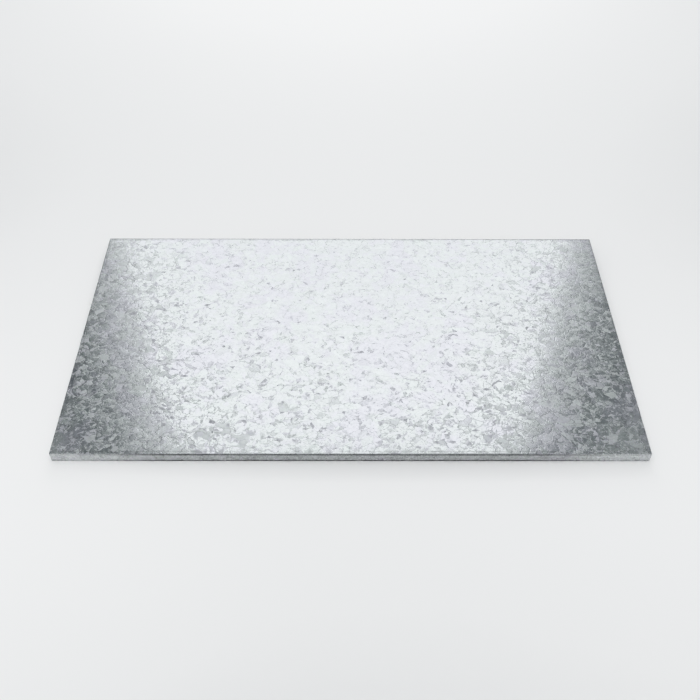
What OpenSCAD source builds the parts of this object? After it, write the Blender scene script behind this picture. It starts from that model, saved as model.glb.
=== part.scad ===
// Rectangular galvanised steel plate, one piece of stock lying flat.
// Units are millimetres. +Z is up and +X runs along the plate's length.
// The origin is at the centre of the underside.

/* [Plate] */
// Length of the long edges, along X
plate_length = 1000; // [300:10:3000]
// Width of the short edges, along Y
plate_width = 550; // [200:10:2000]
// Thickness of the plate, along Z
plate_thickness = 20; // [8:1:60]

/* [Edges] */
// Rounding where a broad face meets an edge face
edge_radius = 1.2; // [0.5:0.1:3]
// Rounding of the four upright corners
corner_radius = 1.8; // [0.5:0.1:3]

/* [Hidden] */
half_length = plate_length / 2;
half_width = plate_width / 2;
// How far each profile runs past the plate before the three are intersected
overrun = 5;
galvanised_colour = [0.66, 0.68, 0.69];
$fn = 64;

// Rectangle from the origin, with its four corners rounded
module rounded_rectangle(size_x, size_y, radius) {
  translate([radius, 0])
    square([size_x - 2 * radius, size_y]);
  translate([0, radius])
    square([size_x, size_y - 2 * radius]);
  for (x = [radius, size_x - radius])
    for (y = [radius, size_y - radius])
      translate([x, y])
        circle(r = radius);
}

// Outline seen from above
module plan_prism() {
  translate([-half_length, -half_width, -overrun])
    linear_extrude(height = plate_thickness + 2 * overrun)
      rounded_rectangle(plate_length, plate_width, corner_radius);
}

// Section seen from the front
module front_prism() {
  translate([-half_length, half_width + overrun, 0])
    rotate([90, 0, 0])
      linear_extrude(height = plate_width + 2 * overrun)
        rounded_rectangle(plate_length, plate_thickness, edge_radius);
}

// Section seen from the side
module side_prism() {
  translate([-half_length - overrun, -half_width, 0])
    rotate([90, 0, 90])
      linear_extrude(height = plate_length + 2 * overrun)
        rounded_rectangle(plate_width, plate_thickness, edge_radius);
}

module plate() {
  color(galvanised_colour)
    intersection() {
      plan_prism();
      front_prism();
      side_prism();
    }
}

plate();
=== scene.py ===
"""Galvanised steel plate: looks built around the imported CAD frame."""

import functools
import math
from types import SimpleNamespace

import bpy
import numpy as np
from mathutils import Matrix, Vector


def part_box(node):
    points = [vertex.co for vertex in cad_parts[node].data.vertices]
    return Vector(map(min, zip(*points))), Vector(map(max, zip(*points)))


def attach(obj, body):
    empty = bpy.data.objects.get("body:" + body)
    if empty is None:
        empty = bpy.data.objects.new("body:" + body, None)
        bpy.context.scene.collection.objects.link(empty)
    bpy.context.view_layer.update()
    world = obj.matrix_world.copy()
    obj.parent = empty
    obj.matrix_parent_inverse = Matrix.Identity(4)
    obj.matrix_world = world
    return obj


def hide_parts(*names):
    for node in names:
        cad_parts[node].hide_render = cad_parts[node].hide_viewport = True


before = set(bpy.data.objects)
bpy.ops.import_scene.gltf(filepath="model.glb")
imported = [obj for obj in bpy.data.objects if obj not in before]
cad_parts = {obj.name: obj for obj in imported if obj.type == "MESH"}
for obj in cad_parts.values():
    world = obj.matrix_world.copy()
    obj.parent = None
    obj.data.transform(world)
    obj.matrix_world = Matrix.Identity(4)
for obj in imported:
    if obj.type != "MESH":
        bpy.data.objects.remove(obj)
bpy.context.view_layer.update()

# ---------------------------------------------------------------- sizes, in metres
PLATE_LO, PLATE_HI = (np.array(c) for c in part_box("plate"))
CENTRE = (PLATE_LO + PLATE_HI) / 2
HALF = (PLATE_HI - PLATE_LO) / 2

EDGE_RADIUS = 0.0012     # rounding of the long arrises, as in the CAD
CORNER_RADIUS = 0.0018   # rounding of the four upright corners, as in the CAD
ARC_STEPS = 3            # mesh steps on each half of a rounded arris
SUPPORT_GAP = 0.0009     # width of the first strip beside a rounded arris
CELL = 0.005             # mesh cell on the broad faces
EDGE_CELL = 0.0035       # mesh cell through the thickness

ROLL_DEPTH = 0.00010         # slow unevenness of every face
RIPPLE_DEPTH = 0.00002       # shorter ripple of the broad faces
EDGE_RIPPLE_DEPTH = 0.00012  # shorter ripple of the edge faces

LAYOUT_GAP = 0.006       # space between faces in the texture layout
UNDERSIDE_SHARE = 0.70   # scale of the underside in the texture layout
SHORT_EDGE_SHARE = 0.68  # scale of the two short edge faces there

# Zinc crystals, in cells per metre before they are stretched
BED_SCALE = 25.0         # about 40 mm, sets how the leaves lie
LEAF_SCALE = 72.0        # about 14 by 25 mm
SHARD_SCALE = 130.0      # about 8 by 13 mm
GRAIN_SCALE = 310.0      # about 3 mm

# Wear and painted highlight beside the arrises
RUB_AND_HIGHLIGHT_WIDTHS = 0.0008, 0.0026  # narrowest and widest rubbed rim, which also carries a painted highlight
SCRIBE_AT = 0.0060           # distance of the scribed line from the arris

FLOOR_HALF = 30.0
GLOW_START, GLOW_END = 1.5, 2.5  # the floor's own glow grows between these distances
FLOOR_GLOW = 0.46


# ---------------------------------------------------------------- node helper
class Tree:
    """Short calls for building a node tree."""

    def __init__(self, tree):
        self.tree = tree
        tree.nodes.clear()

    def node(self, kind, values=None, **settings):
        n = self.tree.nodes.new(kind)
        for name, value in settings.items():
            setattr(n, name, value)
        for name, value in (values or {}).items():
            self.put(n.inputs[name], value)
        return n

    def put(self, socket, value):
        if isinstance(value, bpy.types.NodeSocket):
            self.tree.links.new(value, socket)
        else:
            socket.default_value = value

    def math(self, operation, *values):
        n = self.node("ShaderNodeMath", operation=operation)
        for socket, value in zip(n.inputs, values):
            self.put(socket, value)
        return n.outputs[0]

    def vector(self, operation, *values, scale=None):
        n = self.node("ShaderNodeVectorMath", operation=operation)
        for socket, value in zip(n.inputs, values):
            self.put(socket, value)
        if scale is not None:
            self.put(n.inputs["Scale"], scale)
        return n.outputs[0]

    def times(self, *values):
        return functools.reduce(lambda a, b: self.math("MULTIPLY", a, b), values)

    def plus(self, *values):
        return functools.reduce(lambda a, b: self.math("ADD", a, b), values)

    def remap(self, value, from_min, from_max, to_min, to_max, smooth=False):
        n = self.node("ShaderNodeMapRange", {
            "Value": value, "From Min": from_min, "From Max": from_max,
            "To Min": to_min, "To Max": to_max})
        if smooth:
            n.interpolation_type = "SMOOTHSTEP"
        return n.outputs["Result"]

    def ramp(self, value, start, end):
        """Straight rise from 0 at start to 1 at end."""
        return self.remap(value, start, end, 0.0, 1.0)

    def step(self, value, start, end):
        """Smooth rise from 0 at start to 1 at end."""
        return self.remap(value, start, end, 0.0, 1.0, smooth=True)

    def between(self, share, low, high):
        """From low at share 0 to high at share 1."""
        return self.remap(share, 0.0, 1.0, low, high)

    def where(self, mask, factor):
        """The factor where the mask is 1, no change where it is 0."""
        return self.between(mask, 1.0, factor)

    def split(self, vector):
        return self.node("ShaderNodeSeparateXYZ", {"Vector": vector}).outputs

    def mix(self, factor, a, b):
        n = self.node("ShaderNodeMix", data_type="RGBA")
        for socket, value in ((n.inputs[0], factor), (n.inputs[6], a), (n.inputs[7], b)):
            self.put(socket, value)
        return n.outputs[2]

    def noise(self, vector, scale, detail=2.0, roughness=0.5, output="Fac"):
        return self.node("ShaderNodeTexNoise", {
            "Vector": vector, "Scale": scale,
            "Detail": detail, "Roughness": roughness}).outputs[output]

    def cells(self, vector, scale, feature="F1"):
        return self.node("ShaderNodeTexVoronoi", {"Vector": vector, "Scale": scale},
                         feature=feature)


# ---------------------------------------------------------------- plate mesh
def grid_lines(low, high, cell):
    """Mesh lines along one side: rounded arris, narrow strip, even cells, and mirrored."""
    steps = np.tan(np.linspace(math.pi / 4, 0, ARC_STEPS + 1)) * EDGE_RADIUS
    start = low + EDGE_RADIUS - steps
    inner_low = low + EDGE_RADIUS + SUPPORT_GAP
    inner_high = high - EDGE_RADIUS - SUPPORT_GAP
    count = max(1, round((inner_high - inner_low) / cell))
    inner = np.linspace(inner_low, inner_high, count + 1)
    end = (low + high) - start[::-1]
    return np.concatenate([start, inner, end])


def box_grid():
    """Points and faces of a square-edged box; each face also says which side it is on."""
    lines = [grid_lines(low, high, cell)
             for low, high, cell in zip(PLATE_LO, PLATE_HI, (CELL, CELL, EDGE_CELL))]
    last = [len(line) - 1 for line in lines]
    index, verts, faces, sides = {}, [], [], []

    def vertex(key):
        if key not in index:
            index[key] = len(verts)
            verts.append([lines[a][key[a]] for a in range(3)])
        return index[key]

    for axis in range(3):
        u, v = [(1, 2), (2, 0), (0, 1)][axis]
        for end in (0, last[axis]):
            for i in range(last[u]):
                for j in range(last[v]):
                    corners = [(i, j), (i + 1, j), (i + 1, j + 1), (i, j + 1)]
                    if end == 0:
                        corners.reverse()
                    face = []
                    for a, b in corners:
                        key = [0, 0, 0]
                        key[axis], key[u], key[v] = end, a, b
                        face.append(vertex(tuple(key)))
                    faces.append(face)
                    sides.append((axis, end != 0))
    return np.array(verts), faces, sides


def rounded_corners(points):
    """Pull the upright corners in to their own, larger radius."""
    away = points - CENTRE
    level = np.clip(np.abs(away[:, 2]) - (HALF[2] - EDGE_RADIUS), 0, EDGE_RADIUS)
    inset = EDGE_RADIUS - np.sqrt(EDGE_RADIUS ** 2 - level ** 2)
    over = np.abs(away[:, :2]) - (HALF[:2] - CORNER_RADIUS)
    reach = np.linalg.norm(over, axis=1)
    limit = CORNER_RADIUS - inset
    beyond = (over > 0).all(axis=1) & (reach > limit)
    pulled = HALF[:2] - CORNER_RADIUS + over[beyond] * (limit / reach)[beyond][:, None]
    result = points.copy()
    result[beyond, :2] = CENTRE[:2] + np.sign(away[beyond, :2]) * pulled
    return result


def smooth_field(points, seed, wavelengths, waves=14, spread=1.6):
    """Sum of random plane waves, about -1 to 1, used for slow unevenness."""
    rng = np.random.default_rng(seed)
    total = np.zeros(len(points))
    for _ in range(waves):
        direction = rng.normal(size=3)
        direction /= np.linalg.norm(direction)
        length = rng.uniform(*wavelengths)
        phase = rng.uniform(0, 2 * math.pi)
        total += np.sin(points @ direction * (2 * math.pi / length) + phase)
    return total / math.sqrt(waves) / spread


def unevenness(points, out):
    """How far each point lies under the CAD surface, never above it."""
    roll, ripple, edge_ripple = (
        0.5 + 0.5 * smooth_field(points, seed, wavelengths)
        for seed, wavelengths in ((11, (0.16, 0.45)), (12, (0.03, 0.09)), (13, (0.012, 0.05))))
    broad = np.abs(out[:, 2])
    depth = broad * (ROLL_DEPTH * roll + RIPPLE_DEPTH * ripple)
    depth += (1 - broad) * (ROLL_DEPTH * roll + EDGE_RIPPLE_DEPTH * edge_ripple)
    return np.clip(depth, 0, None)


def bake_layout(mesh, flat, faces, sides):
    """UV map for baking textures: top in full, underside smaller, four edge strips."""
    length, width, thick = PLATE_HI - PLATE_LO
    near_row = width + LAYOUT_GAP
    far_row = near_row + thick + LAYOUT_GAP
    under_row = near_row + 2 * (thick + LAYOUT_GAP)
    left_column = length * UNDERSIDE_SHARE + LAYOUT_GAP
    right_column = length * UNDERSIDE_SHARE + 2 * LAYOUT_GAP + thick
    places = {
        (2, True): (0.0, 0.0, 1.0),
        (2, False): (0.0, under_row, UNDERSIDE_SHARE),
        (1, False): (0.0, near_row, 1.0),
        (1, True): (0.0, far_row, 1.0),
        (0, False): (left_column, under_row, SHORT_EDGE_SHARE),
        (0, True): (right_column, under_row, SHORT_EDGE_SHARE)}
    span = max(length, under_row + width * UNDERSIDE_SHARE)
    at = flat - PLATE_LO
    loops = []
    for face, (axis, end) in zip(faces, sides):
        column, row, scale = places[axis, end]
        for v in face:
            x, y, z = at[v]
            u, w = [(z, y * scale), (x * scale, z * scale), (x * scale, y * scale)][axis]
            loops.append(((column + u) / span, (row + w) / span))
    layer = mesh.uv_layers.new(name="OFBake")
    layer.uv.foreach_set("vector", np.array(loops, dtype=np.float32).ravel())


def plate_mesh(name):
    """The plate with rounded arrises and corners and slightly uneven faces."""
    flat, faces, sides = box_grid()
    core = np.clip(flat, PLATE_LO + EDGE_RADIUS, PLATE_HI - EDGE_RADIUS)
    out = flat - core
    out /= np.linalg.norm(out, axis=1)[:, None]
    smooth = rounded_corners(core + out * EDGE_RADIUS)
    sunk = unevenness(smooth, out)
    mesh = bpy.data.meshes.new(name)
    mesh.from_pydata((smooth - out * sunk[:, None]).tolist(), [], faces)
    mesh.update()
    mesh.polygons.foreach_set("use_smooth", [True] * len(faces))
    bake_layout(mesh, flat, faces, sides)
    return mesh


# ---------------------------------------------------------------- galvanised steel
def new_material(name):
    material = bpy.data.materials.new(name)
    material.use_nodes = True
    return material, Tree(material.node_tree)


def warped(t, base, scale, amount):
    """Coordinates pushed about by noise."""
    shift = t.vector("SUBTRACT", t.noise(base, scale, output="Color"), (0.5, 0.5, 0.5))
    return t.vector("ADD", base, t.vector("SCALE", shift, scale=amount))


def crystals(t, base, scale, stretch, angles, source):
    """Cells stretched one way; source turns each one between two angles in degrees.

    Each cell has a colour of three random parts r, g and b, and a distance to its border.
    """
    angle = t.between(source, *(math.radians(a) for a in angles))
    turned = t.node("ShaderNodeVectorRotate", {"Vector": base, "Angle": angle},
                    rotation_type="Z_AXIS").outputs[0]
    stretched = t.vector("MULTIPLY", turned, (1.0, stretch, 1.0))
    border = t.cells(stretched, scale, feature="DISTANCE_TO_EDGE").outputs["Distance"]
    colour = t.cells(stretched, scale).outputs["Color"]
    r, g, b = t.split(colour)
    return SimpleNamespace(colour=colour, r=r, g=g, b=b, border=border)


def surface(t):
    """Where a point lies: the kind of face and the distances to the plate's edges."""
    place = t.node("ShaderNodeTexCoord").outputs["Object"]
    normal = t.node("ShaderNodeNewGeometry").outputs["Normal"]
    upright = t.math("ABSOLUTE", t.split(normal)[2])
    across = t.split(place)[1]
    away = t.vector("ABSOLUTE", t.vector("SUBTRACT", place, tuple(CENTRE)))
    to_end, to_side, to_broad = t.split(t.vector("SUBTRACT", tuple(HALF), away))
    # Along the surface, the nearest arris is as far as the middle one of the three
    to_arris = t.math("MAXIMUM", t.math("MINIMUM", to_end, to_side),
                      t.math("MINIMUM", t.math("MAXIMUM", to_end, to_side), to_broad))
    return SimpleNamespace(
        place=place, normal=normal, across=across,
        broad=t.ramp(upright, 0.5, 0.8),              # 1 on the two broad faces
        edge=t.remap(upright, 0.3, 0.8, 1.0, 0.0),    # 1 on the four edge faces
        to_arris=to_arris, to_broad=to_broad, to_end=to_end,
        to_far=t.math("SUBTRACT", float(PLATE_HI[1]), across))


def zinc(t, on):
    """Crystals of four sizes, and masks for the ones that froze differently."""
    ragged = warped(t, warped(t, on.place, 70.0, 0.011), 300.0, 0.0034)
    bed = t.split(t.cells(ragged, BED_SCALE).outputs["Color"])[0]
    leaf = crystals(t, ragged, LEAF_SCALE, 0.55, (35, 145), bed)
    shard = crystals(t, ragged, SHARD_SCALE, 0.58, (20, 160), leaf.r)
    grain = t.cells(ragged, GRAIN_SCALE).outputs["Color"]
    grain_g, grain_b = t.split(grain)[1:]

    # Petals: whole leaves that froze even and dull; the shards inside them hardly show
    petal = t.times(t.step(leaf.b, 0.87, 0.89), on.broad)
    busy = t.math("SUBTRACT", 1.0, t.times(petal, 0.85))
    # Flakes and chips: single shards and grains that froze dull
    flake = t.times(t.ramp(shard.r, 0.74, 0.75), t.step(shard.border, 0.0, 0.08))
    chip = t.ramp(grain_b, 0.79, 0.81)
    # Flecks: the dullest shards, in drifts that thicken towards the near side
    drift = t.times(t.remap(t.noise(on.place, 6.0), 0.35, 0.62, 0.0, 0.12),
                    t.ramp(on.across, 0.20, -0.20))
    fleck = t.times(t.step(t.plus(shard.b, drift), 0.925, 0.94),
                    t.step(shard.border, 0.0, 0.16), t.between(on.broad, 0.15, 1.0))
    # Thin dark joints between crystals, open in places
    joint = t.plus(t.step(leaf.border, 0.050, 0.010),
                   t.times(t.step(shard.border, 0.075, 0.015), busy, 0.8))
    joint = t.times(t.math("MINIMUM", joint, 1.0),
                    t.step(t.noise(on.place, 60.0), 0.42, 0.55))
    return SimpleNamespace(leaf=leaf, shard=shard, grain=grain, grain_g=grain_g, petal=petal,
                           busy=busy, flake=flake, chip=chip, fleck=fleck, joint=joint)


def edge_marks_and_painted_light(t, on):
    """Masks of wear and handling marks, and of painted shade and painted highlight beside the
    edges.
    """
    patchy = t.noise(on.place, 28.0, 3.0, 0.6)
    # Rubbed rims: real wear that is smoother, and a painted highlight where their colour is
    # lightened
    rubbed_with_highlight = t.ramp(on.to_arris, t.remap(patchy, 0.35, 0.65, *RUB_AND_HIGHLIGHT_WIDTHS), 0.0)
    # Edge faces: painted shade, darker in the middle of the plate's length, with a painted dark
    # line of shade at each arris
    middle = t.step(on.to_end, 0.04, 0.20)
    painted_arris_shade = t.times(t.step(on.to_broad, 0.0046, 0.0022), on.edge,
                       t.between(middle, 0.30, 1.0), t.remap(patchy, 0.35, 0.60, 0.75, 1.0))
    # Broad faces: darker band beside the arrises, thin dark lines of painted shade at the far
    # and end arrises, scribed line
    band = t.times(t.step(on.to_arris, 0.0095, 0.0040), on.broad)
    painted_far_shade = t.times(t.step(on.to_far, 0.0040, 0.0020), on.broad)
    painted_end_shade = t.times(t.step(on.to_end, 0.0032, 0.0012), on.broad)
    from_scribe = t.math("ABSOLUTE", t.math("SUBTRACT", on.to_arris, SCRIBE_AT))
    scribed = t.times(t.step(from_scribe, 0.0014, 0.0004),
                      t.step(t.noise(on.place, 9.0), 0.44, 0.56), on.broad)
    # Fine scuffs along the length, and specks of ash
    lengthwise = t.vector("MULTIPLY", warped(t, on.place, 3.0, 0.01), (22.0, 700.0, 22.0))
    scuff = t.times(t.ramp(t.noise(lengthwise, 1.0, 1.0), 0.735, 0.76),
                    t.ramp(t.noise(on.place, 5.0, 1.0), 0.5, 0.62))
    speck = t.cells(on.place, 85.0).outputs
    ash = t.times(t.remap(speck["Distance"], 0.05, 0.09, 1.0, 0.0),
                  t.ramp(t.split(speck["Color"])[0], 0.89, 0.90))
    return SimpleNamespace(
        rubbed_with_highlight=rubbed_with_highlight, painted_edge_shade=t.times(on.edge, middle), painted_arris_shade=painted_arris_shade, band=band,
        painted_far_shade=painted_far_shade, painted_end_shade=painted_end_shade, scribed=scribed, scuff=scuff, ash=ash)


def zinc_normal(t, on, z, marks_and_painted_light):
    """A tilt for each facet, less at the far side where the zinc ran smoother, and bump."""
    def lean(colour, amount):
        return t.vector("SCALE", t.vector("SUBTRACT", colour, (0.5, 0.5, 0.5)), scale=amount)

    tilt = t.vector("ADD", lean(z.leaf.colour, t.between(z.petal, 0.005, 0.010)),
                    lean(z.shard.colour, t.times(z.busy, 0.009)))
    tilt = t.vector("ADD", tilt, lean(z.grain, t.times(z.busy, 0.002)))
    calm = t.remap(on.across, 0.25, -0.10, 0.55, 1.0)
    unrubbed = t.math("SUBTRACT", 1.0, marks_and_painted_light.rubbed_with_highlight)
    tilt = t.vector("SCALE", tilt, scale=t.times(calm, unrubbed))
    facet = t.vector("NORMALIZE", t.vector("ADD", on.normal, tilt))
    relief = t.plus(t.times(t.step(z.leaf.border, 0.0, 0.06), 0.4),
                    t.times(t.step(z.shard.border, 0.0, 0.08), z.busy, 0.2),
                    t.times(t.noise(on.place, 1500.0, 3.0, 0.6), 0.25))
    return t.node("ShaderNodeBump", {"Strength": 0.15, "Distance": 0.0005,
                                     "Height": relief, "Normal": facet}).outputs["Normal"]


def zinc_colour(t, on, z, marks_and_painted_light):
    """Greenish and lavender greys, shaded by crystal and by wear, with painted shade and
    painted highlight at the edges.
    """
    lavender = t.step(t.noise(on.place, 16.0), 0.48, 0.60)
    tone = t.mix(lavender, (0.640, 0.662, 0.668, 1), (0.652, 0.657, 0.694, 1))
    tone = t.mix(t.remap(z.leaf.g, 0.5, 1.0, 0.0, 0.7), tone, (0.634, 0.668, 0.662, 1))
    tone = t.mix(t.remap(z.shard.b, 0.6, 0.9, 0.0, 0.6), tone, (0.656, 0.656, 0.704, 1))
    shade = t.times(
        t.between(z.shard.g, 0.94, 1.04), t.between(z.leaf.r, 0.97, 1.03),
        t.between(z.grain_g, 0.92, 1.05), t.where(z.fleck, 0.91), t.where(z.joint, 0.75),
        # Painted shade: the edge faces darker mid-length, and dark lines at their arrises
        t.where(marks_and_painted_light.painted_edge_shade, 0.82), t.where(marks_and_painted_light.painted_arris_shade, 0.16),
        # Painted highlight together with real wear: the rubbed rims lightened
        t.where(marks_and_painted_light.rubbed_with_highlight, 1.28), t.where(marks_and_painted_light.band, 0.94), t.where(marks_and_painted_light.scribed, 0.82),
        # Painted shade: dark outlines at the far and end arrises
        t.where(marks_and_painted_light.painted_far_shade, 0.55), t.where(marks_and_painted_light.painted_end_shade, 0.80),
        t.where(marks_and_painted_light.scuff, 1.05), t.where(marks_and_painted_light.ash, 0.80))
    return t.vector("SCALE", tone, scale=shade)


def zinc_roughness(t, on, z, marks_and_painted_light):
    """Polished leaves with duller shards, petals and flecks; edges and scuffs duller still."""
    dull = t.plus(
        t.times(t.between(z.shard.g, 0.0, 0.13), z.busy),
        t.times(t.plus(t.times(z.flake, t.remap(z.shard.r, 0.74, 1.0, 0.08, 0.29)),
                       t.times(z.chip, 0.15)), z.busy),
        t.times(z.petal, t.between(z.leaf.r, 0.16, 0.32)), t.times(z.fleck, 0.19))
    settled = t.remap(on.across, 0.25, -0.10, 0.80, 1.0)
    return t.plus(t.between(z.leaf.g, 0.03, 0.06), t.times(dull, settled),
                  t.times(on.edge, 0.12), t.times(marks_and_painted_light.rubbed_with_highlight, 0.05), t.times(marks_and_painted_light.scuff, 0.15))


def galvanised_steel():
    """Hot-dip zinc: jagged crystals, each with its own tilt, tone and polish."""
    material, t = new_material("galvanised_steel")
    on = surface(t)
    z = zinc(t, on)
    marks_and_painted_light = edge_marks_and_painted_light(t, on)
    shader = t.node("ShaderNodeBsdfPrincipled", {
        "Base Color": zinc_colour(t, on, z, marks_and_painted_light), "Metallic": 1.0,
        "Roughness": zinc_roughness(t, on, z, marks_and_painted_light), "Normal": zinc_normal(t, on, z, marks_and_painted_light)})
    t.node("ShaderNodeOutputMaterial", {"Surface": shader.outputs[0]})
    return material


# ---------------------------------------------------------------- pieces
def add(name, mesh, material):
    piece = bpy.data.objects.new(name, mesh)
    bpy.context.scene.collection.objects.link(piece)
    piece.data.materials.append(material)
    return piece


plate = add("galvanised_plate", plate_mesh("galvanised_plate"), galvanised_steel())
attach(plate, "root")
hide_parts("plate")


# ---------------------------------------------------------------- stage
def pale_floor():
    """Pale matt floor that glows a little where the lamps no longer reach."""
    material, t = new_material("pale_floor")
    place = t.node("ShaderNodeTexCoord").outputs["Object"]
    colour = t.mix(t.noise(place, 1.5), (0.80, 0.80, 0.80, 1), (0.83, 0.83, 0.83, 1))
    from_middle = t.vector("SUBTRACT", place, (0.0, 0.35, 0.0))
    distance = t.node("ShaderNodeVectorMath", {0: from_middle},
                      operation="LENGTH").outputs["Value"]
    glow = t.times(t.step(distance, GLOW_START, GLOW_END), FLOOR_GLOW)
    shader = t.node("ShaderNodeBsdfPrincipled", {
        "Base Color": colour, "Roughness": 0.85, "Specular IOR Level": 0.2,
        "Emission Color": (1, 1, 1, 1), "Emission Strength": glow})
    t.node("ShaderNodeOutputMaterial", {"Surface": shader.outputs[0]})
    return material


def floor():
    mesh = bpy.data.meshes.new("floor")
    corners = [(-1, -1), (1, -1), (1, 1), (-1, 1)]
    mesh.from_pydata([(x * FLOOR_HALF, y * FLOOR_HALF, 0) for x, y in corners],
                     [], [(0, 1, 2, 3)])
    add("floor", mesh, pale_floor())


def soft_light(name, centre, target, size, radiance,
               spread=180, foot=1.0, head=1.0, mirrored=False):
    """A rectangular soft light of a given brightness; foot and head are its ends' shares."""
    data = bpy.data.lights.new(name, "AREA")
    data.shape = "RECTANGLE"
    data.size, data.size_y = size
    data.energy = radiance * math.pi * size[0] * size[1]
    data.spread = math.radians(spread)
    if min(foot, head) != 1.0:
        data.use_nodes = True
        t = Tree(data.node_tree)
        rise = t.split(t.node("ShaderNodeNewGeometry").outputs["Parametric"])[1]
        level = t.math("MINIMUM", t.between(rise, foot, 1.0),
                       t.remap(rise, 0.80, 1.0, 1.0, head))
        glow = t.node("ShaderNodeEmission", {"Color": (1, 1, 1, 1), "Strength": level})
        t.node("ShaderNodeOutputLight", {"Surface": glow.outputs[0]})
    lamp = bpy.data.objects.new(name, data)
    lamp.location = centre
    lamp.rotation_euler = (Vector(target) - Vector(centre)).to_track_quat("-Z", "Y").to_euler()
    lamp.visible_camera = False
    lamp.visible_glossy = mirrored
    bpy.context.scene.collection.objects.link(lamp)


def lamps():
    # Tall white panel behind the plate, the only lamp that the metal mirrors
    soft_light("panel_behind", centre=(-0.014, 2.9, 2.675), target=(-0.014, -1.0, 2.675),
               size=(2.71, 4.15), radiance=1.00, foot=0.42, head=0.30, mirrored=True)
    # Light from behind and from overhead for the floor and the shadow in front of the plate
    soft_light("behind", centre=(0.0, 2.2, 1.0), target=(0.0, -0.3, 0.0),
               size=(1.0, 1.2), radiance=5.5)
    soft_light("overhead", centre=(0.0, 0.0, 3.2), target=(0.0, 0.0, 0.0),
               size=(4.0, 1.1), radiance=1.7)
    # Two low fill lights that reach the floor by the plate's front corners
    for name, side, radiance in (("fill_left", -1, 0.50), ("fill_right", 1, 0.38)):
        soft_light(name, centre=(side * 1.5, -0.9, 1.2), target=(side * 0.62, -0.36, 0.0),
                   size=(0.9, 0.9), radiance=radiance, spread=40)


def surroundings():
    """Grey wall round the panel, pale behind the camera and near the horizon."""
    beside_panel = (0.79, 0.81, 0.82, 1)
    dark_left, dark_right = (0.205, 0.224, 0.231, 1), (0.245, 0.266, 0.273, 1)
    far_aside = (0.42, 0.44, 0.445, 1)
    behind_camera = (0.54, 0.55, 0.56, 1)
    horizon = (0.80, 0.81, 0.82, 1)

    world = bpy.data.worlds.new("studio")
    world.use_nodes = True
    bpy.context.scene.world = world
    t = Tree(world.node_tree)
    across, ahead, height = t.split(t.node("ShaderNodeTexCoord").outputs["Generated"])
    # How far to the side a direction points, as a share of how far ahead
    shift = t.remap(height, 0.60, 0.68, -0.016, 0.010)
    slant = t.math("DIVIDE", across, t.math("MAXIMUM", ahead, 0.05))
    aside = t.math("ABSOLUTE", t.plus(slant, shift))
    wall = t.mix(t.ramp(across, -0.35, 0.35), dark_left, dark_right)
    wall = t.vector("SCALE", wall, scale=t.remap(height, 0.66, 0.78, 0.95, 1.06))
    wall = t.mix(t.step(aside, 0.48, 0.57), wall, far_aside)
    near_panel = t.times(t.step(aside, 0.465, 0.33), t.step(ahead, 0.15, 0.45))
    wall = t.mix(near_panel, wall, beside_panel)
    wall = t.mix(t.step(ahead, 0.15, -0.20), wall, behind_camera)
    colour = t.mix(t.step(height, 0.35, 0.55), horizon, wall)
    background = t.node("ShaderNodeBackground", {"Color": colour, "Strength": 1.0})
    t.node("ShaderNodeOutputWorld", {"Surface": background.outputs[0]})


def camera():
    data = bpy.data.cameras.new("camera")
    data.sensor_width = 36.0
    data.lens = 44.55
    cam = bpy.data.objects.new("camera", data)
    pitch, roll, yaw = (math.radians(a) for a in (47.37, 0.353, -0.397))
    turn = (Matrix.Rotation(yaw, 4, "Z") @ Matrix.Rotation(math.pi / 2 - pitch, 4, "X")
            @ Matrix.Rotation(roll, 4, "Z"))
    cam.matrix_world = Matrix.Translation((-0.0085, -1.1190, 1.1916)) @ turn
    bpy.context.scene.collection.objects.link(cam)
    bpy.context.scene.camera = cam


floor()
lamps()
surroundings()
camera()
bpy.context.scene.view_settings.view_transform = "Khronos PBR Neutral"
